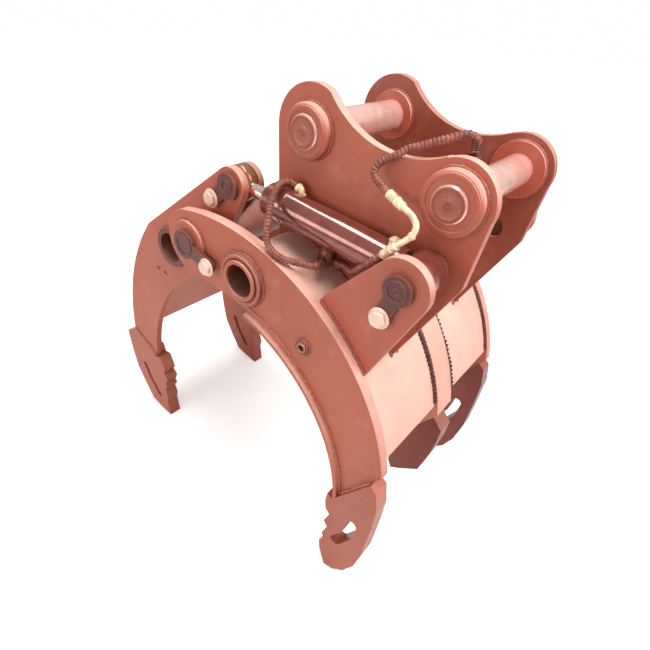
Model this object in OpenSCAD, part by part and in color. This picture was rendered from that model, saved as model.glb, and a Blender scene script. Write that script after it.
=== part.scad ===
/* [Jaw pivot] */
// height of the jaw pivot above the ground
pivot_z = 967; // [930:1:1000]
// place of the jaw pivot along the grapple
pivot_x = -78; // [-95:1:-60]
// radius of the pivot pins
pivot_pin_r = 35; // [30:1:40]
// radius of the round boss on the fixed claw
pivot_boss_r = 66; // [60:1:75]
// how far that boss stands proud
pivot_boss_t = 10; // [6:1:14]
// radius of the moving jaw's hub
hub_r = 78; // [70:1:84]

/* [Fixed jaw] */
// distance from the middle to a fixed claw's outer face
claw_y = 355; // [340:1:380]
// thickness of a fixed claw plate
claw_t = 30; // [20:1:34]
// radius of the fixed claw's round end
claw_end_r = 94; // [88:1:100]
// radius of the fixed claw's outer edge
claw_outer_r = 627; // [610:1:640]
// direction of that arc's centre from the pivot, in degrees
claw_outer_deg = -81.3; // [-83:0.1:-79]
// how much smaller the inner wear strip's outer radius is
claw_band_w = 120; // [112:1:128]
// thickness of the wear strip
strip_t = 12; // [8:1:16]
// how far the wear strip and the tooth stand out past the claw
strip_proud = 18; // [10:1:24]
// width of the middle claw's box
mid_claw_w = 90; // [80:1:110]
// thickness of its plates
mid_claw_t = 20; // [12:1:25]
// how far the shell lies inside the claws' outer edge
shell_inset = 10; // [6:1:14]
// thickness of both shells
shell_t = 16; // [12:1:20]
// outer radius of the fixed shell's rolled upper end
curl_r = 86; // [82:1:90]
// outer radius of the cross tube
tube_r = 58; // [54:1:62]
// bore radius of the cross tube
tube_bore_r = 46; // [40:1:48]
// outer radius of the cross tube's collars
collar_r = 75; // [70:1:80]
// thickness of the collars
collar_t = 12; // [8:1:16]

/* [Head] */
// distance from the middle to a head plate's outer face
head_y = 195; // [190:1:197]
// thickness of a head plate
head_t = 25; // [20:1:30]
// radius of the head pins
head_pin_r = 40; // [35:1:45]
// distance between the two head pins along the grapple
head_pin_dx = 384; // [370:1:400]
// how much lower the second pin lies
head_pin_dz = 76; // [60:1:90]
// radius of the plate round the first pin
head_a_r = 104; // [98:1:110]
// radius of the plate round the second pin
head_b_r = 88; // [84:1:92]
// radius of the saddle between the pins
saddle_r = 249; // [240:1:262]
// radius of the first pin's bosses
boss_a_r = 64; // [58:1:68]
// radius of the second pin's bosses
boss_b_r = 70; // [62:1:74]
// how far the outer bosses stand out
boss_out = 22; // [16:1:26]
// how far the inner bosses stand in
boss_in = 12; // [8:1:16]
// how far a head pin stands out of its bosses
pin_proud = 8; // [4:1:12]

/* [Moving jaw] */
// distance from the middle to a moving claw's outer face
mclaw_y = 283; // [280:1:286]
// thickness of a moving claw plate
mclaw_t = 23; // [20:1:24]
// thickness of the inner rod ears
rod_ear_t = 18; // [14:1:18]
// radius of the moving claw's outer edge
mclaw_outer_r = 835; // [820:1:850]
// how much smaller the radius of the moving claw's inner edge is
mclaw_band_w = 192; // [180:1:200]
// radius of the rod ears
rod_ear_r = 50; // [48:1:54]
// outer radius of the moving jaw's tube
mtube_r = 66; // [62:1:70]
// bore radius of the moving jaw's tube
mtube_bore_r = 50; // [44:1:54]

/* [Cylinders] */
// distance from the middle to a cylinder's axis
cyl_y = 241; // [240:0.5:241]
// outer radius of the barrel
barrel_r = 44; // [40:0.5:44]
// bore radius of the barrel
barrel_bore_r = 34; // [30:1:35]
// radius of the chrome rod
rod_r = 18.5; // [17:0.5:18.5]
// outer radius of the rod eye
rod_eye_r = 49; // [47:0.5:49]
// width of the rod eye
rod_eye_w = 36; // [34:0.5:36]
// radius of the rod pin
rod_pin_r = 20; // [18:0.5:20]
// outer radius of the base eye
base_eye_r = 52; // [48:1:55]
// width of the base eye
base_eye_w = 58; // [54:1:58]
// radius of the base pin
base_pin_r = 27; // [24:1:30]
// radius of the base ears
base_ear_r = 70; // [66:1:74]
// thickness of the base ears
base_ear_t = 24; // [18:1:24]

/* [Teeth] */
// thickness of every tooth
tooth_t = 50; // [46:1:54]
// width of the middle tooth
mid_tooth_t = 60; // [50:1:70]
// width of a fixed tooth along the grapple
tooth_w = 150; // [140:1:160]
// width of a moving tooth along the grapple
mtooth_w = 221; // [210:1:230]

/* [Flags and bolts] */
// thickness of the pins' flag plates
flag_t = 12; // [8:1:14]
// radius of a pivot flag's round end
pivot_flag_r = 42; // [38:1:46]
// radius of a cylinder pin's flag
flag_r = 36; // [32:1:40]
// half width of a flag's arm
flag_arm = 20; // [16:1:24]
// radius of a keeper bolt's washer
washer_r = 26; // [22:1:28]
// thickness of that washer
washer_t = 4; // [3:0.5:6]
// radius of a keeper bolt's head
bolt_head_r = 19; // [16:1:21]
// height of a keeper bolt's head
bolt_head_t = 11; // [8:1:14]

/* [Hoses] */
// outer radius of the ribbed hoses
hose_r = 9; // [8:0.5:9]
// depth of a hose's ribs
rib_depth = 1.6; // [1:0.1:2]
// bore radius of the hoses
hose_bore_r = 5; // [4:0.5:6]
// radius of the hard pipe
pipe_r = 7; // [6:0.5:7]

/* [Hidden] */
$fn = 48;

// running clearance of the pins in their bores, all round
pin_gap = 0.08;
// gap between faces of pieces that move past each other
face_gap = 0.5;
// overrun of every cut
cut = 5;
// a size larger than the whole grapple, for cutting shapes to length
span = 3000;

// points in side view are [along the grapple, height]
pivot = [pivot_x, pivot_z];
// places in side view, measured from the jaw pivot
base_pin_off = [655, 87];
rod_pin_off = [99, 167];
head_a_off = [297, 324];
mtube_off = [-196, -98];
saddle_off = [551, 561];
mcorner_off = [-315.6, -49];
pivot_bolt_off = [95, -36];
base_bolt_off = [-32, -76];
rod_bolt_off = [-62, -44];

base_c = pivot + base_pin_off;
rod_c = pivot + rod_pin_off;
head_a = pivot + head_a_off;
head_b = head_a + [head_pin_dx, -head_pin_dz];
mtube_c = pivot + mtube_off;
saddle_c = pivot + saddle_off;

function pol(c, r, a) = c + r * [cos(a), sin(a)];
function angle_of(v) = atan2(v[1], v[0]);
// where a line from p touches the circle of radius r about c, on the side k of -1 or 1
function touch(p, c, r, k) = pol(c, r, angle_of(p - c) + k * acos(r / norm(p - c)));

claw_c = pol(pivot, claw_outer_r - claw_end_r, claw_outer_deg);
shell_r = claw_outer_r - shell_inset;
// the wear strip's arc has its own centre, a little off the claw's
strip_r = claw_outer_r - claw_band_w;
strip_c = claw_c + [-10.6, -87.1];
// place of the side tube, in shares of the claw's outer radius
side_tube_share = [0.5525, 0.598];
side_tube_c = claw_c + claw_outer_r * side_tube_share;
// direction of the rolled end's centre, seen from the centre of the shell
curl_deg = 70.3;
curl_c = pol(claw_c, shell_r - curl_r, curl_deg);
// the cross tube lies in the curl, a little off its middle
tube_c = curl_c + [-45.6, -11];
shell_low_deg = 11;
claw_end_deg = 7.8;
strip_end_deg = -1;
strip_top_deg = 72;
claw_end = pol(claw_c, claw_outer_r, claw_end_deg);
tooth_top = pol(strip_c, strip_r - strip_t, strip_end_deg);
claw_in = claw_y - claw_t;
head_in = head_y - head_t;

// solids
module slab(s, a, b) translate([0, s > 0 ? b : -a, 0]) rotate([90, 0, 0]) linear_extrude(b - a) children();
module rod_y(s, p, r, a, b)
  translate([p[0], s > 0 ? b : -a, p[1]]) rotate([90, 0, 0]) cylinder(h = b - a, r = r);
module rod_along(p, q, r) {
  d = q - p;
  translate(p) rotate([0, acos(d[2] / norm(d)), atan2(d[1], d[0])]) cylinder(h = norm(d), r = r);
}
module disc(c, r) translate(c) circle(r, $fn = 96);

// how far an outline's points lie past an arc that cuts them off
inner_over = 20;

// fixed claw, side view, down to the radius r of its inner edge
module claw_band(r) {
  top = pol(pivot, claw_end_r, claw_outer_deg + 180);
  low = pivot - [0, claw_end_r];
  inner = pol(strip_c, strip_r, strip_top_deg + strip_end_shift);
  difference() {
    union() {
      intersection() {
        disc(claw_c, claw_outer_r);
        polygon([low, pivot, top, top + [0, span], claw_end + span * unit(claw_end - tooth_top),
          tooth_top - inner_over * unit(claw_end - tooth_top), strip_c, inner]);
      }
      disc(pivot, claw_end_r);
    }
    disc(strip_c, r);
  }
}
strip_end_shift = 6;
module strip_ring() {
  difference() {
    disc(strip_c, strip_r);
    disc(strip_c, strip_r - strip_t);
    polygon([strip_c, strip_c + span * [cos(strip_top_deg), sin(strip_top_deg)], strip_c + [-span, span],
      strip_c + [-span, -span], strip_c + [span, -span],
      strip_c + span * [cos(strip_end_deg), sin(strip_end_deg)]]);
    polygon([2 * tooth_top - claw_end, claw_end, claw_end - [0, span], tooth_top - [0, span]]);
  }
}
module fixed_claw(s) {
  color("indianred") difference() {
    slab(s, claw_in, claw_y) claw_band(strip_r);
    rod_y(s, pivot, pivot_pin_r + pin_gap, claw_in - cut, claw_y + cut);
    rod_y(s, tube_c, tube_r, claw_in - cut, claw_y + cut);
    rod_y(s, side_tube_c, side_tube_r, claw_in - cut, claw_y + cut);
  }
  color("indianred") difference() {
    rod_y(s, pivot, pivot_boss_r, claw_y, claw_y + pivot_boss_t);
    rod_y(s, pivot, pivot_pin_r + pin_gap, claw_y - cut, claw_y + pivot_boss_t + cut);
  }
}
module fixed_strip(s) color("rosybrown") slab(s, claw_in, claw_y + strip_proud) strip_ring();

// middle claw, a box of two side plates, an outer plate and an inner strip
module mid_band() {
  difference() {
    intersection() {
      claw_band(strip_r - strip_t);
      translate([tube_c[0], -span]) square([span, 2 * span]);
    }
    disc(tube_c, tube_r);
  }
}
module fixed_claw_mid() color("indianred") {
  h = mid_claw_w / 2;
  difference() {
    slab(1, -h, h) mid_band();
    slab(1, mid_claw_t - h, h - mid_claw_t) intersection() {
      difference() {
        disc(claw_c, claw_outer_r - mid_claw_t);
        disc(strip_c, strip_r);
        disc(tube_c, tube_r + mid_claw_t);
      }
      polygon([claw_c, pol(claw_c, span, mid_hollow_top_deg), claw_c + [span, span],
        pol(claw_c, span, mid_hollow_low_deg)]);
    }
  }
}
mid_hollow_top_deg = 71;
mid_hollow_low_deg = 14;

// fixed shell, two panels that run between the claws and roll down over the cross tube
module shell_block(s, a, b) {
  intersection() {
    rod_y(s, claw_c, shell_r, a, b);
    slab(s, a, b)
      polygon([claw_c, pol(claw_c, span, curl_deg), claw_c + [span, span], claw_c + [span, -span]]);
  }
  rod_y(s, curl_c, curl_r, a, b);
}
module arc_plate(c, r, w, a0, a1) intersection() {
  difference() {
    disc(c, r);
    disc(c, r - w);
  }
  polygon([c, pol(c, span, a0), pol(c, span, (a0 + a1) / 2), pol(c, span, a1)]);
}
module fixed_shell() color("salmon") for (s = [-1, 1]) {
  slab(s, mid_claw_w / 2, claw_in) arc_plate(claw_c, shell_r, shell_t, shell_low_deg, curl_deg);
  difference() {
    slab(s, mid_claw_w / 2, claw_in) arc_plate(curl_c, curl_r, shell_t, curl_deg, 180);
    rod_y(s, tube_c, tube_r, mid_claw_w / 2 - cut, claw_in + cut);
  }
}
module cross_tube() color("indianred") difference() {
  union() {
    rod_y(1, tube_c, tube_r, -claw_y - collar_t, claw_y + collar_t);
    for (s = [-1, 1]) rod_y(s, tube_c, collar_r, claw_y, claw_y + collar_t);
  }
  rod_y(1, tube_c, tube_bore_r, -claw_y - collar_t - cut, claw_y + collar_t + cut);
}
side_tube_r = 15;
side_tube_bore_r = 9;
side_collar_r = 21;
side_collar_t = 9;
side_tube_in = 14;
module side_tube(s) color("indianred") difference() {
  union() {
    rod_y(s, side_tube_c, side_tube_r, claw_in - side_tube_in, claw_y + side_collar_t);
    rod_y(s, side_tube_c, side_collar_r, claw_y, claw_y + side_collar_t);
  }
  rod_y(s, side_tube_c, side_tube_bore_r, claw_in - side_tube_in - cut, claw_y + side_collar_t + cut);
}

// a bent slot through the points k
slot_side_share = 0.97;
module slot_chain(k, r) {
  for (p = k) disc(p, r);
  for (i = [0 : len(k) - 2]) {
    n = slot_side_share * r * [k[i][1] - k[i + 1][1], k[i + 1][0] - k[i][0]] / norm(k[i + 1] - k[i]);
    polygon([k[i] + n, k[i + 1] + n, k[i + 1] - n, k[i] - n]);
  }
}
// fixed tooth, points in shares of its width and of the height of its upper inner corner
tooth_share = [[0, 1], [-0.12, 1.03], [-0.153, 0.93], [-0.133, 0.83], [-0.027, 0.78], [-0.153, 0.645],
  [-0.067, 0.585], [-0.187, 0.445], [-0.133, 0.388], [-0.24, 0.31], [-0.22, 0.21], [-0.147, 0.1],
  [-0.06, 0], [0.16, 0.022], [0.427, 0.118], [0.66, 0.303], [0.813, 0.55], [0.867, 0.736],
  [0.933, 0.97], [0.98, 1.21]];
kidney_share = [[0.5, 0.84], [0.42, 0.66], [0.16, 0.48]];
kidney_r = 17;
module tooth_outline() {
  w = [for (p = tooth_share) tooth_top + [tooth_w * p[0], tooth_top[1] * (p[1] - 1)]];
  k = [for (p = kidney_share) tooth_top + [tooth_w * p[0], tooth_top[1] * (p[1] - 1)]];
  difference() {
    polygon(concat(w, [tooth_outer, tooth_corner]));
    slot_chain(k, kidney_r);
  }
}
// how far short of the claw's outer corner the tooth ends
tooth_setback_share = 0.13;
tooth_corner = claw_end + tooth_setback_share * (tooth_top - claw_end);
tooth_outer = tooth_corner + tooth_w * [0.13, -0.13];
module fixed_tooth(s) color("brown")
  slab(s, claw_y + strip_proud - tooth_t, claw_y + strip_proud) tooth_outline();
// the middle tooth is solid, shorter and blunt
mid_tooth_share = [[0, 1], [-0.02, 0.8], [-0.03, 0.62], [0.06, 0.53], [0.3, 0.59], [0.72, 0.72], [0.84, 0.89],
  [0.98, 1.15], [1.03, 1.33]];
module fixed_tooth_mid() color("brown") slab(1, -mid_tooth_t / 2, mid_tooth_t / 2) {
  w = [for (p = mid_tooth_share) tooth_top + [tooth_w * p[0], tooth_top[1] * (p[1] - 1)]];
  polygon(concat(w, [tooth_corner]));
}

// head plates stand on the shell
head_edge_off = [56, -185];
head_foot_deg = 32.8;
// directions of the outline's corners on the two round ends
head_a_deg = 60;
head_b_deg = 110;
module head_outline() {
  edge = head_b + head_edge_off;
  foot = pol(claw_c, shell_r - shell_t, head_foot_deg);
  left = head_a[0] - head_a_r;
  polygon([[left, curl_c[1]], [left, head_a[1]], head_a, pol(head_a, head_a_r, head_a_deg),
    pol(head_b, head_b_r, head_b_deg), head_b, head_b + [head_b_r, 0], edge, foot,
    pol(claw_c, shell_r / 2, head_foot_deg), curl_c]);
}
module head_plate(s) color("salmon") difference() {
  union() {
    slab(s, head_in, head_y) head_outline();
    rod_y(s, head_a, head_a_r, head_in, head_y);
    rod_y(s, head_b, head_b_r, head_in, head_y);
  }
  rod_y(s, saddle_c, saddle_r, head_in - cut, head_y + cut);
  shell_block(s, head_in - cut, head_y + cut);
  for (c = [head_a, head_b]) rod_y(s, c, head_pin_r + pin_gap, head_in - cut, head_y + cut);
  rod_y(s, base_c, base_pin_r + pin_gap, head_in - cut, head_y + cut);
}
// a boss ring with a bevelled rim
module boss_ring(s, c, r, a, b, bevel) {
  h = b - a;
  translate([c[0], s > 0 ? a : -a, c[1]]) rotate([s > 0 ? -90 : 90, 0, 0])
    rotate_extrude() polygon([[head_pin_r + pin_gap, 0], [r, 0], [r, h - bevel], [r - bevel, h],
      [head_pin_r + pin_gap, h]]);
}
boss_bevel = 4;
module head_boss(s) color("salmon") for (c = [[head_a, boss_a_r], [head_b, boss_b_r]]) {
  boss_ring(s, c[0], c[1], head_y, head_y + boss_out, boss_bevel);
  difference() {
    rod_y(s, c[0], c[1], head_in - boss_in, head_in);
    rod_y(s, c[0], head_pin_r + pin_gap, head_in - boss_in - cut, head_in + cut);
  }
}
module head_pin(c) color("silver") {
  e = head_y + boss_out + pin_proud;
  translate([c[0], -e, c[1]]) rotate([-90, 0, 0]) rotate_extrude()
    polygon([[0, 0], [head_pin_r - pin_bevel, 0], [head_pin_r, pin_bevel], [head_pin_r, 2 * e - pin_bevel],
      [head_pin_r - pin_bevel, 2 * e], [0, 2 * e]]);
}
pin_bevel = 3;

// base ears stand on the shell beside the outer claws
base_back_off = [-191, -85];
base_foot_deg = 34;
module base_ear_outline() {
  foot = pol(claw_c, shell_r, base_foot_deg);
  back = base_c + base_back_off;
  polygon([touch(back, base_c, base_ear_r, -1), base_c, touch(foot, base_c, base_ear_r, 1), foot,
    pol(claw_c, shell_r / 2, base_foot_deg), pol(claw_c, shell_r / 2, angle_of(back - claw_c)), back]);
}
spacer_r = 42;
module base_ear(s) color("indianred") difference() {
  union() {
    difference() {
      union() {
        slab(s, claw_in - base_ear_t, claw_in) base_ear_outline();
        rod_y(s, base_c, base_ear_r, claw_in - base_ear_t, claw_in);
      }
      shell_block(s, claw_in - base_ear_t - cut, claw_in + cut);
    }
    rod_y(s, base_c, spacer_r, cyl_y + base_eye_w / 2 + face_gap, claw_in - base_ear_t);
    rod_y(s, base_c, spacer_r, head_y, cyl_y - base_eye_w / 2 - face_gap);
  }
  rod_y(s, base_c, base_pin_r + pin_gap, head_y - cut, claw_in + cut);
}

// a pin with its flag plate, drawn from its inner end to the flag's seat
module flag_pin(s, c, off, r, a, b, fr) {
  e = norm(off);
  n = flag_arm * [-off[1], off[0]] / e;
  rod_y(s, c, r, a, b);
  slab(s, b, b + flag_t) {
    disc(c, fr);
    disc(c + off, flag_arm);
    polygon([c + n, c + off + n, c + off - n, c - n]);
  }
}
module keeper_bolt(s, c, y) {
  rod_y(s, c, washer_r, y, y + washer_t);
  rod_y(s, c, bolt_head_r, y + washer_t, y + washer_t + bolt_head_t);
}
pivot_seat = claw_y + pivot_boss_t + face_gap;
base_seat = claw_in + face_gap;
rod_seat = mclaw_y + face_gap;
pivot_pin_in = 236;
// how far the base pin's inner end lies inside the head plate
pin_recess = 9;
module pivot_pin(s) color("dimgray")
  flag_pin(s, pivot, pivot_bolt_off, pivot_pin_r, pivot_pin_in, pivot_seat, pivot_flag_r);
module base_pin(s) color("dimgray")
  flag_pin(s, base_c, base_bolt_off, base_pin_r, head_in + pin_recess, base_seat, flag_r);
module rod_pin(s) color("dimgray")
  flag_pin(s, rod_c, rod_bolt_off, rod_pin_r, ear_in_y - face_gap, rod_seat, flag_r);
module frame_keeper_bolts() color("gainsboro") for (s = [-1, 1]) {
  keeper_bolt(s, pivot + pivot_bolt_off, pivot_seat + flag_t);
  keeper_bolt(s, base_c + base_bolt_off, base_seat + flag_t);
}
module jaw_keeper_bolts() color("gainsboro") for (s = [-1, 1])
  keeper_bolt(s, rod_c + rod_bolt_off, rod_seat + flag_t);

// moving jaw
mclaw_in = mclaw_y - mclaw_t;
ear_out_y = cyl_y - rod_eye_w / 2 - face_gap - face_gap;
ear_in_y = ear_out_y - rod_ear_t;
mcorner_deg = 136;
mlow_deg = 175.6;
// directions of the inner edge's two ends, seen from its own centre
minner_low_deg = 173.5;
minner_top_deg = 118.6;
mcorner = pivot + mcorner_off;
mouter_c = pol(mcorner, mclaw_outer_r, mcorner_deg + 180);
minner_c = mouter_c + [-60, -90];
mclaw_inner_r = mclaw_outer_r - mclaw_band_w;
mlow = pol(mouter_c, mclaw_outer_r, mlow_deg);
minner_low = pol(minner_c, mclaw_inner_r, minner_low_deg);
minner_top = pol(minner_c, mclaw_inner_r, minner_top_deg);
// the outline's points past the arcs that cut them off
low_in = minner_low + inner_over * unit(minner_low - mlow);
top_in = minner_top + inner_over * unit(minner_top - pivot);
low_out = mlow - inner_over * unit(minner_low - mlow);
module mclaw_block(s, a, b) difference() {
  union() {
    intersection() {
      rod_y(s, mouter_c, mclaw_outer_r, a, b);
      slab(s, a, b) polygon([low_out, low_in, minner_c, top_in, pivot, mcorner, mcorner + [-span, 0],
        low_out + [-span, 0]]);
    }
    slab(s, a, b) polygon([mcorner, touch(mcorner, rod_c, rod_ear_r, -1), rod_c, pol(rod_c, rod_ear_r, -25),
      pol(pivot, hub_r, 10), pivot, top_in]);
    rod_y(s, rod_c, rod_ear_r, a, b);
    rod_y(s, pivot, hub_r, a, b);
  }
  rod_y(s, minner_c, mclaw_inner_r, a - cut, b + cut);
}
small_hole_offs = [[-302, -211], [-263, -217]];
small_hole_r = 9;
module moving_claw(s) color("indianred") difference() {
  mclaw_block(s, mclaw_in, mclaw_y);
  rod_y(s, rod_c, rod_pin_r + pin_gap, mclaw_in - cut, mclaw_y + cut);
  rod_y(s, pivot, pivot_pin_r + pin_gap, mclaw_in - cut, mclaw_y + cut);
  rod_y(s, mtube_c, mtube_r, mclaw_in - cut, mclaw_y + cut);
  for (o = small_hole_offs) rod_y(s, pivot + o, small_hole_r, mclaw_in - cut, mclaw_y + cut);
}
module moving_hub(s) color("indianred") difference() {
  union() {
    rod_y(s, pivot, hub_r, pivot_pin_in, mclaw_in);
    rod_y(s, pivot, hub_r, mclaw_y, claw_in - face_gap);
  }
  rod_y(s, pivot, pivot_pin_r + pin_gap, pivot_pin_in - cut, claw_y + cut);
}
mtube_proud = 10;
module moving_tube() color("indianred") difference() {
  rod_y(1, mtube_c, mtube_r, -mclaw_y - mtube_proud, mclaw_y + mtube_proud);
  rod_y(1, mtube_c, mtube_bore_r, -mclaw_y - mtube_proud - cut, mclaw_y + mtube_proud + cut);
}
module moving_shell() color("salmon")
  slab(1, -mclaw_in, mclaw_in) arc_plate(mouter_c, mclaw_outer_r - shell_inset, shell_t, mcorner_deg, mlow_deg);
// inner rod ear: a plate from the tube up to the rod pin
ear_web_r = 84;
module rod_ear(s) color("indianred") difference() {
  union() {
    rod_y(s, rod_c, rod_ear_r, ear_in_y, ear_out_y);
    rod_y(s, mtube_c, ear_web_r, ear_in_y, ear_out_y);
    slab(s, ear_in_y, ear_out_y) polygon([pol(rod_c, rod_ear_r, ear_top_deg), rod_c,
      pol(rod_c, rod_ear_r, ear_top_deg + 180), pol(mtube_c, ear_web_r, ear_top_deg + 180), mtube_c,
      pol(mtube_c, ear_web_r, ear_top_deg)]);
  }
  rod_y(s, mtube_c, mtube_r, ear_in_y - cut, ear_out_y + cut);
  rod_y(s, rod_c, rod_pin_r + pin_gap, ear_in_y - cut, ear_out_y + cut);
}
// direction square to the line from the tube to the rod pin
ear_top_deg = angle_of(rod_c - mtube_c) + 90;
// moving tooth, points in shares of its width and of its height
mtooth_share = [[-1, 0.904], [-0.679, 1], [-0.19, 0.868], [-0.163, 0.784], [-0.027, 0.792], [0.027, 0.711],
  [0.063, 0.647], [0.005, 0.596], [0.095, 0.546], [0.014, 0.457], [0.05, 0.419], [-0.036, 0.358],
  [0.014, 0.279], [-0.032, 0.19], [0, 0], [-0.317, 0.041], [-0.543, 0.086], [-0.738, 0.267], [-0.9, 0.442],
  [-0.964, 0.652]];
mtooth_slot_share = [[-0.6, 0.55], [-0.48, 0.39], [-0.27, 0.22]];
mtooth_slot_r = 12;
mtooth_tip_dx = -392;
module mtooth_outline() {
  hgt = mlow[1] - mtooth_drop;
  x = pivot_x + mtooth_tip_dx;
  w = [for (p = mtooth_share) [x + mtooth_w * p[0], hgt * p[1]]];
  k = [for (p = mtooth_slot_share) [x + mtooth_w * p[0], hgt * p[1]]];
  difference() {
    polygon(w);
    slot_chain(k, mtooth_slot_r);
  }
}
mtooth_drop = 8;
module moving_tooth(s) color("brown") difference() {
  slab(s, mclaw_y - tooth_t, mclaw_y) mtooth_outline();
  mclaw_block(s, mclaw_in, mclaw_y + cut);
}

// cylinders, drawn with the base pin at the origin and the rod towards -X
cyl_len = norm(base_c - rod_c);
cyl_deg = angle_of(base_c - rod_c);
rod_out = 106;
gland_l = 34;
base_cap = 60;
base_gap = 8;
module cyl_frame(s) translate([base_c[0], s * cyl_y, base_c[1]]) rotate([0, -cyl_deg, 0]) children();
module rod_x(r, a, b) translate([a, 0, 0]) rotate([0, 90, 0]) cylinder(h = b - a, r = r);
gland_x = rod_out - cyl_len;
barrel_x = gland_x + gland_l;
module barrel(s) color("maroon") cyl_frame(s) difference() {
  union() {
    rod_x(barrel_r, barrel_x, -base_eye_r + base_gap);
    rod_y(1, [0, 0], base_eye_r, -base_eye_w / 2, base_eye_w / 2);
  }
  rod_y(1, [0, 0], base_pin_r + pin_gap, -base_eye_w / 2 - cut, base_eye_w / 2 + cut);
  rod_x(barrel_bore_r, barrel_x - cut, -base_cap);
}
gland_lip = 8;
module gland(s) color("gray") cyl_frame(s) difference() {
  union() {
    rod_x(barrel_r - gland_step, gland_x, gland_x + gland_lip);
    rod_x(barrel_r, gland_x + gland_lip, barrel_x);
    rod_x(barrel_bore_r - pin_gap, barrel_x, barrel_x + gland_l);
  }
  rod_x(rod_r + pin_gap, gland_x - cut, barrel_x + gland_l + cut);
}
gland_step = 6;
piston_l = 40;
piston_x = -base_cap - base_gap - piston_l;
module rod(s) color("silver") cyl_frame(s) {
  difference() {
    union() {
      rod_x(rod_r, rod_neck - cyl_len, piston_x);
      rod_y(1, [-cyl_len, 0], rod_eye_r, -rod_eye_w / 2, rod_eye_w / 2);
    }
    translate([-cyl_len, 0, 0]) eye_slot();
  }
}
rod_neck = 30;
// the open pivot: the eye's hole is longer than the pin by this much each way, square to the rod
eye_play = 13.5;
eye_side_play = 2.5;
module eye_slot() {
  r = rod_pin_r + eye_side_play;
  for (k = [-1, 1]) translate([0, 0, k * eye_play]) rod_y(1, [0, 0], r, -rod_eye_w, rod_eye_w);
  translate([-r, -rod_eye_w, -eye_play]) cube([2 * r, 2 * rod_eye_w, 2 * eye_play]);
}
module piston(s) color("gray") cyl_frame(s) rod_x(barrel_bore_r - pin_gap, piston_x, piston_x + piston_l);

// hoses: points along the near side's routes, [along, from the middle, height]
hose_a_pts = [[203, 222, 1160], [194, 223, 1164], [185, 225, 1168], [177, 242, 1170], [180, 268, 1163],
  [190, 300, 1140], [204, 326, 1104], [208, 338, 1072], [218, 344, 1050], [238, 345, 1036], [262, 341, 1027],
  [284, 329, 1021], [303, 314, 1016], [318, 303, 1012],
  [326, 289, 1010], [326, 280, 1010], [326, 271, 1010]];
hose_b_pts = [[362, 241, 1010], [371, 241, 1010], [381, 241, 1010], [408, 257, 1013], [438, 282, 1033],
  [466, 297, 1060], [488, 297, 1082], [505, 287, 1098], [512, 286, 1104], [519, 286, 1111]];
pipe_pts = [[526, 286, 1118], [538, 286, 1130], [552, 282, 1143], [562, 276, 1155], [563, 268, 1172],
  [550, 260, 1184], [534, 254, 1191], [519, 249, 1195], [506, 245, 1199]];
hose_c_pts = [[492, 241, 1204], [484, 239, 1207], [475, 237, 1210], [456, 234, 1220], [435, 231, 1232],
  [425, 227, 1246],
  [430, 222, 1260], [444, 214, 1272], [465, 205, 1285], [482, 195, 1297], [503, 187, 1305],
  [522, 180, 1313], [549, 170, 1324], [571, 160, 1333], [590, 151, 1337], [604, 146, 1328],
  [604, 146, 1319], [604, 146, 1310]];
far_pipe_pts = [[526, 286, 1118], [538, 286, 1130], [552, 282, 1143], [562, 276, 1155], [563, 268, 1172],
  [548, 262, 1184], [528, 254, 1190], [518, 234, 1190], [518, 213, 1190]];
function on_side(s, p) = [for (q = p) [q[0], s * q[1], q[2]]];

function spline(p, i, t) =
  let (n = len(p) - 1, a = p[max(i - 1, 0)], b = p[i], c = p[min(i + 1, n)], d = p[min(i + 2, n)])
  0.5 * (2 * b + (c - a) * t + (2 * a - 5 * b + 4 * c - d) * t * t + (3 * b - a - 3 * c + d) * t * t * t);
function dense(p, k) =
  concat([for (i = [0 : len(p) - 2]) for (j = [0 : k - 1]) spline(p, i, j / k)], [p[len(p) - 1]]);
function sums(d, i = 0, a = [0]) =
  i >= len(d) - 1 ? a : sums(d, i + 1, concat(a, [a[i] + norm(d[i + 1] - d[i])]));
function seat(c, s, i = 0) = (i >= len(c) - 2 || c[i + 1] >= s) ? i : seat(c, s, i + 1);
function even(d, n) =
  let (c = sums(d), l = c[len(c) - 1])
  [for (k = [0 : n]) let (s = l * k / n, i = seat(c, s))
    d[i] + (d[i + 1] - d[i]) * (s - c[i]) / (c[i + 1] - c[i])];
function unit(v) = v / norm(v);
function heads(q) = [for (k = [0 : len(q) - 1]) unit(q[min(k + 1, len(q) - 1)] - q[max(k - 1, 0)])];
function sides(t, k = 0, a = []) =
  k >= len(t) ? a
  : sides(t, k + 1, concat(a, [k == 0 ? unit(cross(t[0], [0, 0, 1]))
    : unit(a[k - 1] - (a[k - 1] * t[k]) * t[k])]));
function rings(q, r, m) =
  let (t = heads(q), n = sides(t))
  [for (k = [0 : len(q) - 1]) for (j = [0 : m - 1])
    q[k] + r[k] * (cos(360 * j / m) * n[k] + sin(360 * j / m) * cross(t[k], n[k]))];
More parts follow.
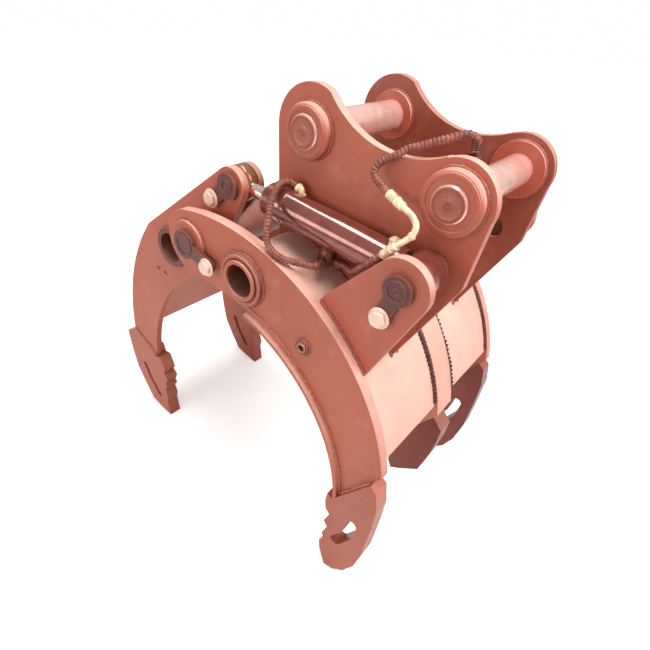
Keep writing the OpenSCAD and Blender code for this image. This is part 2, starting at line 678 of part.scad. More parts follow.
// a tube with ribs: outer rings in pairs, low and high, and a plain bore
function wall(b, n, m, u) =
  [for (k = [0 : n - 1]) for (j = [0 : m - 1]) for (h = [0, 1])
    let (j1 = (j + 1) % m, a0 = b + k * m + j, a1 = b + k * m + j1, c0 = a0 + m, c1 = a1 + m)
    u > 0 ? (h == 0 ? [a0, c0, a1] : [c0, c1, a1]) : (h == 0 ? [a0, a1, c0] : [c0, a1, c1])];
function rim(a, b, m, u) =
  [for (j = [0 : m - 1]) for (h = [0, 1])
    let (j1 = (j + 1) % m)
    u > 0 ? (h == 0 ? [a + j, a + j1, b + j] : [a + j1, b + j1, b + j])
    : (h == 0 ? [a + j, b + j, a + j1] : [a + j1, b + j, b + j1])];
module ribbed(p) {
  m = 8;
  d = dense(p, 8);
  c = sums(d);
  ribs = round(c[len(c) - 1] / rib_pitch);
  n = 2 * ribs;
  nb = ceil(ribs / 2);
  vo = rings(even(d, n), [for (k = [0 : n]) k % 2 == 0 ? hose_r - rib_depth : hose_r], m);
  vi = rings(even(d, nb), [for (k = [0 : nb]) hose_bore_r], m);
  b = len(vo);
  polyhedron(concat(vo, vi), concat(wall(0, n, m, 1), wall(b, nb, m, -1), rim(0, b, m, 1),
    rim(n * m, b + nb * m, m, -1)));
}
module tube(p, r, n) {
  m = 10;
  v = rings(even(dense(p, 8), n), [for (k = [0 : n]) r], m);
  polyhedron(v, concat(wall(0, n, m, 1), [[for (j = [0 : m - 1]) j]],
    [[for (j = [m - 1 : -1 : 0]) n * m + j]]));
}
// length of one rib and its groove
rib_pitch = 8.5;
pipe_rings = 16;
module hose_a(s) color("saddlebrown") ribbed(on_side(s, hose_a_pts));
module hose_b(s) color("saddlebrown") ribbed(on_side(s, hose_b_pts));
module hose_c() color("saddlebrown") ribbed(on_side(-1, hose_c_pts));
module pipe(s) color("goldenrod") tube(on_side(s, s < 0 ? pipe_pts : far_pipe_pts), pipe_r, pipe_rings);

// least gap between a hose's own walls, at places more than two diameters apart along it
function self_gap(p) =
  let (q = even(dense(p, 8), 60), c = sums(q))
  min([for (i = [0 : 59]) for (j = [i + 1 : 60]) if (c[j] - c[i] > 4 * hose_r) norm(q[j] - q[i])]) - 2 * hose_r;
echo(gap_a = self_gap(hose_a_pts), gap_b = self_gap(hose_b_pts), gap_c = self_gap(hose_c_pts));

// fittings: ports, nuts and the block under the barrel that the first two hoses share
nut_r = 12;
port_r = 13;
block_l = 36;
block_w = 36;
block_h = 50;
module fittings(s) color("goldenrod") {
  a = on_side(s, hose_a_pts);
  b = on_side(s, hose_b_pts);
  p = on_side(s, s < 0 ? pipe_pts : far_pipe_pts);
  c = on_side(s, hose_c_pts)[0];
  n = len(p) - 1;
  block_x = b[0][0] - base_c[0] - block_l - nut_l;
  elbow = a[0] - nut_l * unit(a[1] - a[0]);
  difference() {
    union() {
      rod_along(elbow - [0, 0, port_h], elbow + [0, 0, nut_r], port_r);
      rod_along(elbow, a[0], nut_r);
      cyl_frame(s) translate([block_x, -block_w / 2, -barrel_r - block_h])
        cube([block_l, block_w, block_h + nut_r]);
      rod_along([b[0][0] - nut_l - cut, b[0][1], b[0][2]], b[0], nut_r);
      rod_along(a[len(a) - 1] - [0, s * nut_l, 0], a[len(a) - 1], nut_r);
      rod_along(b[len(b) - 1], p[0], ferrule_r);
      if (s < 0) rod_along(p[n], c + 2 * face_gap * unit(p[n] - c), ferrule_r);
      if (s > 0) rod_along(p[n], [p[n][0], head_y + 2 * face_gap, p[n][2]], ferrule_r);
      rod_along([base_port_x, s * cyl_y, base_c[1]], [base_port_x, s * cyl_y, base_c[1] + base_port_h], port_r);
    }
    cyl_frame(s) rod_x(barrel_r, -cyl_len, 0);
    cyl_frame(s) rod_y(1, [0, 0], base_eye_r, -barrel_r, barrel_r);
  }
}
nut_l = 14;
port_h = 30;
ferrule_r = 10.5;
base_port_x = 505;
base_port_h = 70;
module hose_c_fitting() color("goldenrod") {
  e = on_side(-1, hose_c_pts)[len(hose_c_pts) - 1];
  z = head_b[1] + boss_b_r + face_gap;
  translate([e[0] - nut_r, -head_in, z]) cube([2 * nut_r, head_in + e[1] + nut_r, stub_h]);
  rod_along([e[0], e[1], z + stub_h], e, nut_r - 1);
}
stub_h = 14;

head_plate(-1);  // head_plate_near
head_plate(1);  // head_plate_far
head_boss(-1);  // head_boss_near
head_boss(1);  // head_boss_far
head_pin(head_a);  // head_pin_a
head_pin(head_b);  // head_pin_b
fixed_claw(-1);  // fixed_claw_near
fixed_claw_mid();
fixed_claw(1);  // fixed_claw_far
fixed_strip(-1);  // fixed_strip_near
fixed_strip(1);  // fixed_strip_far
fixed_shell();
cross_tube();
side_tube(-1);  // side_tube_near
side_tube(1);  // side_tube_far
fixed_tooth(-1);  // fixed_tooth_near
fixed_tooth_mid();
fixed_tooth(1);  // fixed_tooth_far
base_ear(-1);  // base_ear_near
base_ear(1);  // base_ear_far
pivot_pin(-1);  // pivot_pin_near
pivot_pin(1);  // pivot_pin_far
base_pin(-1);  // base_pin_near
base_pin(1);  // base_pin_far
frame_keeper_bolts();
moving_claw(-1);  // moving_claw_near
moving_claw(1);  // moving_claw_far
moving_hub(-1);  // moving_hub_near
moving_hub(1);  // moving_hub_far
moving_shell();
moving_tube();
moving_tooth(-1);  // moving_tooth_near
moving_tooth(1);  // moving_tooth_far
rod_ear(-1);  // rod_ear_near
rod_ear(1);  // rod_ear_far
rod_pin(-1);  // rod_pin_near
rod_pin(1);  // rod_pin_far
jaw_keeper_bolts();
barrel(-1);  // barrel_near
barrel(1);  // barrel_far
gland(-1);  // gland_near
gland(1);  // gland_far
rod(-1);  // rod_near
rod(1);  // rod_far
piston(-1);  // piston_near
piston(1);  // piston_far
fittings(-1);  // fittings_near
fittings(1);  // fittings_far
pipe(-1);  // pipe_near
pipe(1);  // pipe_far
hose_a(-1);  // hose_a_near
hose_a(1);  // hose_a_far
hose_b(-1);  // hose_b_near
hose_b(1);  // hose_b_far
hose_c();
hose_c_fitting();
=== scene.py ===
import bmesh
import bpy
import math
import random
from mathutils import Matrix, Vector


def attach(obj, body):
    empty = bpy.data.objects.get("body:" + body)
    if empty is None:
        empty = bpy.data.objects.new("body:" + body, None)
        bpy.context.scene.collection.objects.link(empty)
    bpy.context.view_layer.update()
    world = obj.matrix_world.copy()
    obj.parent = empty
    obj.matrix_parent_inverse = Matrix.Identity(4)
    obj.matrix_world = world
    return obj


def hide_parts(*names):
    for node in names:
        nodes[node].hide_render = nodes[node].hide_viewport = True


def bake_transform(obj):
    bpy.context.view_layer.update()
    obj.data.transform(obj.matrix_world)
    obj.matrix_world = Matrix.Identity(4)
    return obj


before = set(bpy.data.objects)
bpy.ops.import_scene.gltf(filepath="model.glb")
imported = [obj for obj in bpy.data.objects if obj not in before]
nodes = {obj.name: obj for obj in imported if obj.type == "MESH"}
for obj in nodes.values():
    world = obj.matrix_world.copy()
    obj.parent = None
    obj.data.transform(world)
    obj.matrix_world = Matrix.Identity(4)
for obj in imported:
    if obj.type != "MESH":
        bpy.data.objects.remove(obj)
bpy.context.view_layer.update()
random.seed(11)
MM = 0.001

# Places in side view, [along the grapple, height] in millimetres, as in part.scad
PIVOT = (-78.0, 967.0)
BASE = (577.0, 1054.0)
ROD = (21.0, 1134.0)
HEAD_A = (219.0, 1291.0)
HEAD_B = (603.0, 1215.0)
JAW_TUBE = (-274.0, 869.0)
SIDES = ((-1, "near"), (1, "far"))


def polar(c, r, deg):
    a = math.radians(deg)
    return (c[0] + r * math.cos(a), c[1] + r * math.sin(a))


def angle_of(a, b):
    return math.degrees(math.atan2(b[1] - a[1], b[0] - a[0]))


def shifted(c, d):
    return (c[0] + d[0], c[1] + d[1])


# Fixed jaw: the claws' centre, the strips' centre, the shell and its rolled end, the tubes and the tooth
CLAW_CENTRE = polar(PIVOT, 533.0, -81.3)
CLAW_R, CLAW_INNER_R, STRIP_R = 627.0, 495.0, 507.0
STRIP_CENTRE = shifted(CLAW_CENTRE, (-10.6, -87.1))
SHELL_R, SHELL_T = 617.0, 16.0
CURL_R, CURL_START = 86.0, 70.3
CURL_CENTRE = polar(CLAW_CENTRE, SHELL_R - CURL_R, CURL_START)
TUBE = shifted(CURL_CENTRE, (-45.6, -11.0))
SIDE_TUBE = shifted(CLAW_CENTRE, (0.5525 * CLAW_R, 0.598 * CLAW_R))
CLAW_END = polar(CLAW_CENTRE, CLAW_R, 7.8)
TOOTH_TOP = polar(STRIP_CENTRE, CLAW_INNER_R, -1.0)
BOSS_A_R, BOSS_B_R = 64.0, 70.0
HEAD_BOSSES = ((HEAD_A, BOSS_A_R), (HEAD_B, BOSS_B_R))

# Moving jaw: the outer and inner arcs' centres and their low ends
JAW_CLAW_R, JAW_CLAW_INNER_R, JAW_SHELL_R = 835.0, 643.0, 825.0
JAW_OUTER_CENTRE = polar((-393.6, 918.0), JAW_CLAW_R, 316.0)
JAW_OUTER_END = polar(JAW_OUTER_CENTRE, JAW_CLAW_R, 175.6)
JAW_INNER_CENTRE = shifted(JAW_OUTER_CENTRE, (-60.0, -90.0))
JAW_INNER_END = polar(JAW_INNER_CENTRE, JAW_CLAW_INNER_R, 173.5)

# Distances from the middle plane, the same on both sides, and how far a ring sinks into its flag plate
CLAW_OUT, CLAW_IN, MID_CLAW, MID_TOOTH = 355.0, 325.0, 45.0, 30.0
HEAD_OUT, HEAD_IN, BOSS_OUT, PIN_OUT = 195.0, 170.0, 217.0, 224.6
BASE_EAR_IN, CYL_Y = 301.0, 241.0
JAW_CLAW_OUT, JAW_CLAW_IN, ROD_EAR_IN = 283.0, 260.0, 222.0
TUBE_OUT, SIDE_TUBE_OUT = 367.0, 364.0
PIVOT_FLAG, BASE_FLAG, ROD_FLAG = 377.5, 337.5, 295.5
SINK = 0.1


# Materials
def linear(v):
    return (v / 255) / 12.92 if v <= 10 else ((v / 255 + 0.055) / 1.055) ** 2.4


def srgb(r, g, b):
    return (linear(r), linear(g), linear(b), 1.0)


class Finish:
    """A node material with short names for what every finish here needs."""

    def __init__(self, name, rough=0.4, metallic=0.0, coat=0.0, coat_rough=0.2, spec=0.5):
        self.material = bpy.data.materials.new(name)
        self.material.use_nodes = True
        self.tree = self.material.node_tree
        self.shader = next(n for n in self.tree.nodes if n.type == "BSDF_PRINCIPLED")
        self.shader.inputs["Roughness"].default_value = rough
        self.shader.inputs["Metallic"].default_value = metallic
        self.shader.inputs["Coat Weight"].default_value = coat
        self.shader.inputs["Coat Roughness"].default_value = coat_rough
        self.shader.inputs["Specular IOR Level"].default_value = spec
        self.pos = self.node("ShaderNodeTexCoord").outputs["Object"]

    def node(self, kind, **values):
        n = self.tree.nodes.new(kind)
        for k, v in values.items():
            setattr(n, k, v)
        return n

    def link(self, a, b):
        self.tree.links.new(a, b)

    def noise(self, scale, detail=4.0, rough=0.55, stretch=None, seed=0.0):
        n = self.node("ShaderNodeTexNoise")
        n.inputs["Scale"].default_value = scale
        n.inputs["Detail"].default_value = detail
        n.inputs["Roughness"].default_value = rough
        m = self.node("ShaderNodeMapping")
        m.inputs["Location"].default_value = (seed, seed * 0.7, -seed)
        if stretch:
            m.inputs["Scale"].default_value = stretch
        self.link(self.pos, m.inputs["Vector"])
        self.link(m.outputs["Vector"], n.inputs["Vector"])
        return n.outputs["Fac"]

    def ramp(self, fac, lo, hi, a=0.0, b=1.0):
        n = self.node("ShaderNodeMapRange", interpolation_type="SMOOTHSTEP")
        n.inputs["From Min"].default_value = lo
        n.inputs["From Max"].default_value = hi
        n.inputs["To Min"].default_value = a
        n.inputs["To Max"].default_value = b
        self.link(fac, n.inputs["Value"])
        return n.outputs["Result"]

    def math(self, op, a, b):
        n = self.node("ShaderNodeMath", operation=op)
        for i, v in enumerate((a, b)):
            if isinstance(v, (int, float)):
                n.inputs[i].default_value = v
            else:
                self.link(v, n.inputs[i])
        return n.outputs[0]

    def mix(self, fac, a, b):
        n = self.node("ShaderNodeMix", data_type="RGBA", blend_type="MIX")
        for key, v in ((0, fac), (6, a), (7, b)):
            if isinstance(v, (int, float, tuple)):
                n.inputs[key].default_value = v
            else:
                self.link(v, n.inputs[key])
        return n.outputs[2]

    def edge(self, radius):
        """Where the surface turns within the radius: 1 on an edge, 0 on a flat."""
        bev = self.node("ShaderNodeBevel", samples=4)
        bev.inputs["Radius"].default_value = radius
        geo = self.node("ShaderNodeNewGeometry")
        dot = self.node("ShaderNodeVectorMath", operation="DOT_PRODUCT")
        self.link(bev.outputs[0], dot.inputs[0])
        self.link(geo.outputs["Normal"], dot.inputs[1])
        return self.ramp(self.math("SUBTRACT", 1.0, dot.outputs["Value"]), 0.02, 0.25)

    def facing(self, axis, lo, hi):
        """How much the surface looks along a direction of its own object."""
        c = self.node("ShaderNodeTexCoord")
        dot = self.node("ShaderNodeVectorMath", operation="DOT_PRODUCT")
        dot.inputs[1].default_value = axis
        self.link(c.outputs["Normal"], dot.inputs[0])
        return self.ramp(dot.outputs["Value"], lo, hi)

    def bump(self, *layers):
        """Layers of (height, strength, distance in metres), laid over each other."""
        last = None
        for height, strength, dist in layers:
            n = self.node("ShaderNodeBump")
            n.inputs["Strength"].default_value = strength
            n.inputs["Distance"].default_value = dist
            self.link(height, n.inputs["Height"])
            if last is not None:
                self.link(last, n.inputs["Normal"])
            last = n.outputs["Normal"]
        self.link(last, self.shader.inputs["Normal"])

    def color(self, c):
        self.link(c, self.shader.inputs["Base Color"])

    def rough(self, r):
        self.link(r, self.shader.inputs["Roughness"])


def painted(name, base, pale, dark, rough=0.42, dust=0.6, wear=0.45, coat=0.12, seed=0.0):
    """Sprayed paint over plate: mottled, paler where dust lies and as painted light on faces turned up and
    towards the key light, paler along worn edges, darker in streaks.
    """
    m = Finish(name, rough, 0.0, coat, 0.32, 0.35)
    broad = m.noise(2.6, 3, 0.5, seed=seed)
    mid = m.noise(17, 5, 0.6, seed=seed + 1)
    fine = m.noise(160, 4, 0.6, seed=seed + 2)
    streak = m.noise(9, 4, 0.6, stretch=(2.2, 2.2, 0.35), seed=seed + 3)
    c = m.mix(m.ramp(broad, 0.35, 0.65, 0.0, 0.22), base, dark)
    c = m.mix(m.ramp(mid, 0.5, 0.8, 0.0, 0.1), c, pale)
    c = m.mix(m.ramp(fine, 0.55, 0.75, 0.0, 0.12), c, dark)
    c = m.mix(m.ramp(streak, 0.56, 0.8, 0.0, 0.22), c, dark)
    # Paler on faces turned up and towards the key light's side: part settled dust, part a painted highlight
    # for the light from above and the right.
    up = m.math("MULTIPLY", m.facing((0.36, 0.0, 0.93), 0.2, 0.9), m.ramp(mid, 0.25, 0.6, 0.7, 1.0))
    c = m.mix(m.math("MULTIPLY", up, dust), c, pale)
    chips = m.math("MULTIPLY", m.edge(0.0035), m.ramp(fine, 0.3, 0.62, 0.35, 1.0))
    c = m.mix(m.math("MULTIPLY", chips, wear), c, pale)
    m.color(c)
    m.rough(m.ramp(m.math("ADD", m.math("MULTIPLY", mid, 0.6), m.math("MULTIPLY", fine, 0.4)), 0.25, 0.75,
                   rough - 0.1, rough + 0.14))
    m.bump((m.noise(700, 2, 0.5, seed=seed), 0.22, 0.0006), (mid, 0.12, 0.002))
    return m.material


def metal(name, base, dark, rough=0.3, metallic=0.9, grain=(60, 60, 900), grain_depth=0.0004, coat=0.0,
          wear=0.4, pale=(0.9, 0.8, 0.76, 1.0), stains=0.6):
    """Bare or thinly coated metal: stained, with a machined grain and brighter edges."""
    m = Finish(name, rough, metallic, coat, 0.1)
    stain = m.noise(24, 5, 0.6, seed=4)
    fine = m.noise(1.0, 3, 0.5, stretch=grain, seed=5)
    c = m.mix(m.ramp(stain, 0.42, 0.72, 0.0, stains), base, dark)
    c = m.mix(m.math("MULTIPLY", m.edge(0.002), wear), c, pale)
    m.color(c)
    m.rough(m.ramp(m.math("ADD", m.math("MULTIPLY", stain, 0.5), m.math("MULTIPLY", fine, 0.5)), 0.3, 0.7,
                   rough * 0.75, rough * 1.35))
    m.bump((fine, 0.25, grain_depth))
    return m.material


def weld_steel(name, base, pale, dark):
    m = Finish(name, 0.38, 0.15, 0.2, 0.25)
    n = m.noise(220, 4, 0.7, seed=8)
    c = m.mix(m.ramp(n, 0.35, 0.7), dark, base)
    c = m.mix(m.ramp(m.noise(90, 3, 0.6, seed=9), 0.55, 0.72, 0.0, 0.45), c, pale)
    m.color(c)
    m.rough(m.ramp(n, 0.3, 0.7, 0.28, 0.55))
    m.bump((n, 0.3, 0.0008))
    return m.material


def rubber(name, base, pale, dark):
    m = Finish(name, 0.48, 0.0, 0.15, 0.3)
    dust = m.noise(55, 5, 0.65, seed=12)
    c = m.mix(m.ramp(dust, 0.38, 0.7), base, pale)
    c = m.mix(m.ramp(m.noise(13, 3, 0.5, seed=13), 0.55, 0.75, 0.0, 0.5), c, dark)
    m.color(c)
    m.rough(m.ramp(dust, 0.3, 0.7, 0.38, 0.62))
    m.bump((m.noise(600, 3, 0.6, seed=14), 0.2, 0.0004))
    return m.material


PALE = srgb(240, 192, 176)
BRICK = painted("brick_paint", srgb(178, 92, 66), PALE, srgb(132, 62, 47))
BRICK_B = painted("brick_paint_head", srgb(180, 92, 68), PALE, srgb(132, 62, 48), seed=3.0)
# A darker copy of the brick paint with less pale on top, for the far head plate: painted shade.
BRICK_SHADED = painted("brick_paint_far_shaded", srgb(150, 74, 54), PALE, srgb(108, 50, 38), dust=0.3, seed=4.0)
# The shells' paint, paler than the brick paint throughout: painted light, for the shells that face the light
# from above and the right.
SHELL_LIT = painted("shell_paint_lit", srgb(206, 140, 120), srgb(244, 208, 194), srgb(180, 112, 96),
                dust=0.6, seed=6.0)
TOOTH = painted("tooth_paint", srgb(172, 86, 61), srgb(220, 156, 134), srgb(108, 50, 38),
                rough=0.36, dust=0.25, wear=0.6, seed=9.0)
# A darker copy of the tooth paint, for the middle and far teeth: painted shade under the shell.
TOOTH_SHADED = painted("tooth_paint_shaded", srgb(132, 64, 50), srgb(206, 144, 126), srgb(84, 38, 32),
                  rough=0.4, dust=0.3, wear=0.5, seed=10.0)
EYE = metal("greased_eye", srgb(150, 96, 62), srgb(86, 40, 30), pale=srgb(226, 176, 120),
            rough=0.3, metallic=0.3, coat=0.4, wear=0.6, stains=1.0)
# Dark paint on the cross, side and moving tubes: painted shade in their bores.
BORE_SHADE = painted("bore_paint_shaded", srgb(112, 56, 46), srgb(214, 156, 138), srgb(48, 22, 17),
                dust=0.3, wear=0.6, seed=12.0)
DARK = painted("flag_paint", srgb(98, 44, 36), srgb(196, 134, 120), srgb(44, 19, 17),
               rough=0.34, dust=0.12, wear=0.6, coat=0.3, seed=15.0)
PIN = metal("pin_steel", srgb(242, 192, 178), srgb(160, 100, 88),
            rough=0.22, metallic=0.55, coat=0.4, stains=0.3, grain=(500, 12, 500), grain_depth=0.00012)
PIN_END = painted("pin_end_paint", srgb(150, 74, 55), srgb(186, 112, 92), srgb(100, 46, 35),
                  rough=0.42, seed=18.0)
BARREL = metal("barrel_gloss", srgb(136, 70, 58), srgb(84, 36, 31),
               rough=0.13, metallic=0.4, coat=1.0, wear=0.5, grain=(500, 30, 500), grain_depth=0.0001)
GLAND = metal("gland_steel", srgb(132, 76, 66), srgb(76, 38, 33), rough=0.28, metallic=0.6, wear=0.8)
CHROME = metal("chrome_rod", srgb(244, 222, 214), srgb(214, 172, 160),
               rough=0.1, metallic=1.0, grain=(900, 60, 60), grain_depth=0.0001)
ZINC = metal("zinc_bolt", srgb(240, 208, 192), srgb(200, 156, 140), pale=srgb(250, 226, 212),
             rough=0.38, metallic=0.25, wear=0.3)
BRASS = metal("yellow_fitting", srgb(246, 222, 184), srgb(176, 126, 90), pale=srgb(255, 244, 222),
              rough=0.26, metallic=0.2, wear=0.8, coat=0.3)
BLOCK = metal("oiled_block", srgb(136, 76, 60), srgb(74, 34, 28), pale=srgb(220, 170, 130),
              rough=0.34, metallic=0.4, wear=0.6, stains=0.9)
# The middle claw's paint, between the brick and the shell paint: painted light, as on the shells.
MIDDLE_CLAW_LIT = painted("middle_paint_lit", srgb(204, 128, 106), srgb(242, 196, 180), srgb(160, 88, 70),
              dust=0.6, seed=7.0)
HOSE = rubber("hose_guard", srgb(116, 56, 44), srgb(164, 92, 74), srgb(56, 25, 20))
WELD = weld_steel("weld_bead", srgb(178, 98, 76), srgb(210, 142, 122), srgb(138, 70, 55))
WELD_PALE = weld_steel("weld_bead_pale", srgb(200, 124, 100), srgb(236, 180, 162), srgb(164, 90, 72))
# A dark copy of the weld colour, for the seams beside the claws: painted shadow lines where the claws stand
# proud of the shell.
WELD_SHADOW = weld_steel("weld_bead_shadow", srgb(104, 52, 44), srgb(172, 104, 90), srgb(54, 24, 20))

# Each node's finish is in the first row whose text starts its name. The others are brick
FINISH = (
    ("fixed_shell", SHELL_LIT), ("moving_shell", SHELL_LIT), ("fixed_claw_mid", MIDDLE_CLAW_LIT), ("head_pin", PIN),
    ("rod_near", CHROME), ("rod_far", CHROME), ("head_plate_far", BRICK_SHADED), ("fixed_tooth_mid", TOOTH_SHADED),
    ("fixed_tooth_far", TOOTH_SHADED), ("fixed_tooth", TOOTH), ("moving_tooth", TOOTH), ("head_plate", BRICK_B),
    ("head_boss", BRICK_B), ("base_ear", BRICK_B), ("cross_tube", BORE_SHADE), ("side_tube", BORE_SHADE),
    ("moving_tube", BORE_SHADE), ("pivot_pin", DARK), ("base_pin", DARK), ("rod_pin", DARK), ("barrel", BARREL),
    ("gland", GLAND), ("piston", GLAND), ("fittings", BRASS), ("pipe", BRASS), ("hose_c_fitting", BRASS),
    ("hose", HOSE), ("frame_keeper", ZINC), ("jaw_keeper", ZINC),
)
for name, obj in nodes.items():
    mat = next((m for start, m in FINISH if name.startswith(start)), BRICK)
    obj.data.materials.clear()
    obj.data.materials.append(mat)


# Softer edges on the plates
SOFT_EDGE = 0.0016
SOFT_NODES = ("head_plate", "fixed_claw", "moving_claw", "base_ear", "rod_ear", "fixed_strip")


def soften(o):
    """Joins the flat faces' triangles first, so that the bevel leaves no thin lines on them."""
    w = o.modifiers.new("join", "WELD")
    w.merge_threshold = 0.00002
    d = o.modifiers.new("flat", "DECIMATE")
    d.decimate_type = "DISSOLVE"
    d.angle_limit = math.radians(0.2)
    b = o.modifiers.new("edge", "BEVEL")
    b.width = SOFT_EDGE
    b.segments = 2
    b.limit_method = "ANGLE"
    b.angle_limit = math.radians(32)
    b.harden_normals = False
    b.use_clamp_overlap = True


for name, obj in nodes.items():
    if name.startswith(SOFT_NODES):
        soften(obj)


# Meshes
def mesh_piece(name, verts, faces, mat, body, slot, stands_for=()):
    """A smooth piece that rides a body; without one it rides none."""
    me = bpy.data.meshes.new(name)
    me.from_pydata([tuple(v) for v in verts], [], faces)
    me.validate()
    me.shade_smooth()
    me.materials.append(mat)
    o = bpy.data.objects.new(name, me)
    bpy.context.scene.collection.objects.link(o)
    if body:
        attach(o, body)
    if stands_for:
        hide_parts(*stands_for)
    return o


def axes_of(axis):
    """A direction as a unit vector, and two more that are square to it and to each other."""
    axis = Vector(axis).normalized()
    side = axis.orthogonal().normalized()
    return axis, side, axis.cross(side)


def bands(rows, n, closed=False, caps=(True, True)):
    """Faces between rows of n points. Closed, the last row meets the first. Else caps shuts the two ends."""
    faces = []
    for i in range(rows if closed else rows - 1):
        q = (i + 1) % rows
        for j in range(n):
            k = (j + 1) % n
            faces.append((i * n + j, i * n + k, q * n + k, q * n + j))
    if not closed and caps[0]:
        faces.append(tuple(range(n - 1, -1, -1)))
    if not closed and caps[1]:
        faces.append(tuple((rows - 1) * n + j for j in range(n)))
    return faces


class Parts:
    """Verts and faces of one piece, gathered from several forms."""

    def __init__(self):
        self.verts, self.faces = [], []

    def add(self, verts, faces):
        k = len(self.verts)
        self.verts += [Vector(v) for v in verts]
        self.faces += [tuple(i + k for i in f) for f in faces]

    def lathe(self, at, axis, profile, n=32):
        """Turns (distance along axis, radius) pairs round the axis. Lengths in millimetres."""
        axis, side, up = axes_of(axis)
        at = Vector(at)
        verts = []
        for h, r in profile:
            for j in range(n):
                a = 2 * math.pi * j / n
                verts.append((at + axis * h + (side * math.cos(a) + up * math.sin(a)) * r) * MM)
        self.add(verts, bands(len(profile), n, caps=(profile[0][1] > 0, profile[-1][1] > 0)))

    def ring(self, at, axis, profile, n=40):
        """Turns a closed profile of (distance along axis, radius) pairs round the axis."""
        axis, side, up = axes_of(axis)
        at = Vector(at)
        verts = []
        for j in range(n):
            a = 2 * math.pi * j / n
            out = side * math.cos(a) + up * math.sin(a)
            verts += [(at + axis * h + out * r) * MM for h, r in profile]
        self.add(verts, bands(n, len(profile), closed=True))

    def hexagon(self, at, axis, r, h, chamfer=1.6, turn=0.0, domed=True):
        """A hexagon head or nut with its corners turned shifted, r across the corners."""
        axis, side, up = axes_of(axis)
        at = Vector(at)
        verts = []
        n = 24
        levels = [(0, 1.0), (h - chamfer, 1.0), (h - chamfer * 0.35, 0.93), (h, 0.84)]
        if domed:
            levels += [(h + chamfer * 0.25, 0.45), (h + chamfer * 0.3, 0.12)]
        for z, s in levels:
            for j in range(n):
                a = 2 * math.pi * j / n
                b = (a + math.pi / 6) % (math.pi / 3) - math.pi / 6
                flat = r * math.cos(math.pi / 6) / math.cos(b)
                rad = min(flat, r * 0.97) if s > 0.99 else min(flat, r * 0.97 * s)
                out = side * math.cos(a + turn) + up * math.sin(a + turn)
                verts.append((at + axis * z + out * rad) * MM)
        self.add(verts, bands(len(levels), n))

    def sweep(self, pts, radii, n=20):
        """A round tube along points, in millimetres."""
        pts = [Vector(p) for p in pts]
        heads = [(pts[min(i + 1, len(pts) - 1)] - pts[max(i - 1, 0)]).normalized() for i in range(len(pts))]
        side = heads[0].orthogonal().normalized()
        verts = []
        for i, p in enumerate(pts):
            side = (side - heads[i] * side.dot(heads[i])).normalized()
            up = heads[i].cross(side)
            for j in range(n):
                a = 2 * math.pi * j / n
                verts.append((p + (side * math.cos(a) + up * math.sin(a)) * radii[i]) * MM)
        self.add(verts, bands(len(pts), n))

    def box(self, at, ax, ay, az, bevel=2.0):
        """A block with bevelled edges: at is its middle, ax, ay and az its half sides."""
        at, axes = Vector(at), [Vector(ax), Vector(ay), Vector(az)]
        bm = bmesh.new()
        bmesh.ops.create_cube(bm, size=2.0)
        for v in bm.verts:
            v.co = at + axes[0] * v.co.x + axes[1] * v.co.y + axes[2] * v.co.z
        bmesh.ops.bevel(bm, geom=list(bm.edges), offset=bevel, segments=2, affect="EDGES")
        self.add([v.co * MM for v in bm.verts], [tuple(v.index for v in f.verts) for f in bm.faces])
        bm.free()

    def make(self, name, mat, body, **more):
        return mesh_piece(name, self.verts, self.faces, mat, body, **more)


def socket(p, a, b, short=0.0):
    """A sleeve from a pipe's end a towards b, with a turned-down start, ending short of b."""
    h = (b - a).length - short
    p.lathe(a, b - a, [(0, 0), (0, 9), (1, 10), (h, 10), (h, 0)], n=24)


def spline(points, per=8):
    """The same curve through the route's points as in part.scad."""
    p = [Vector(q) for q in points]
    out = []
    for i in range(len(p) - 1):
        a, b, c, d = p[max(i - 1, 0)], p[i], p[i + 1], p[min(i + 2, len(p) - 1)]
        for j in range(per):
            t = j / per
            out.append(0.5 * (2 * b + (c - a) * t + (2 * a - 5 * b + 4 * c - d) * t * t
                              + (3 * b - a - 3 * c + d) * t * t * t))
    return out + [p[-1]]


def even(pts, n):
    """n + 1 points at equal steps along a line of points, and its length."""
    s = [0.0]
    for a, b in zip(pts, pts[1:]):
        s.append(s[-1] + (b - a).length)
    out, i = [], 0
    for k in range(n + 1):
        t = s[-1] * k / n
        while i < len(s) - 2 and s[i + 1] < t:
            i += 1
        out.append(pts[i] + (pts[i + 1] - pts[i]) * ((t - s[i]) / max(s[i + 1] - s[i], 1e-9)))
    return out, s[-1]


def mirrored(points, s):
    return [(x, s * y, z) for x, y, z in points]


# Camera, at the photograph's place and angle
cam_data = bpy.data.cameras.new("camera")
cam = bpy.data.objects.new("camera", cam_data)
bpy.context.scene.collection.objects.link(cam)
right = Vector((0.7792, 0.6249, 0.0477)).normalized()
ahead = Vector((-0.5026, 0.6684, -0.5484)).normalized()
above = right.cross(ahead).normalized()
right = ahead.cross(above).normalized()
place = Matrix((right, above, -ahead)).transposed().to_4x4()
place.translation = Vector((0.9716, -1.0976, 1.5186))
cam.matrix_world = place
cam_data.sensor_width = 36.0
cam_data.lens = 26.11
cam_data.clip_start, cam_data.clip_end = 0.05, 100.0
bpy.context.scene.camera = cam


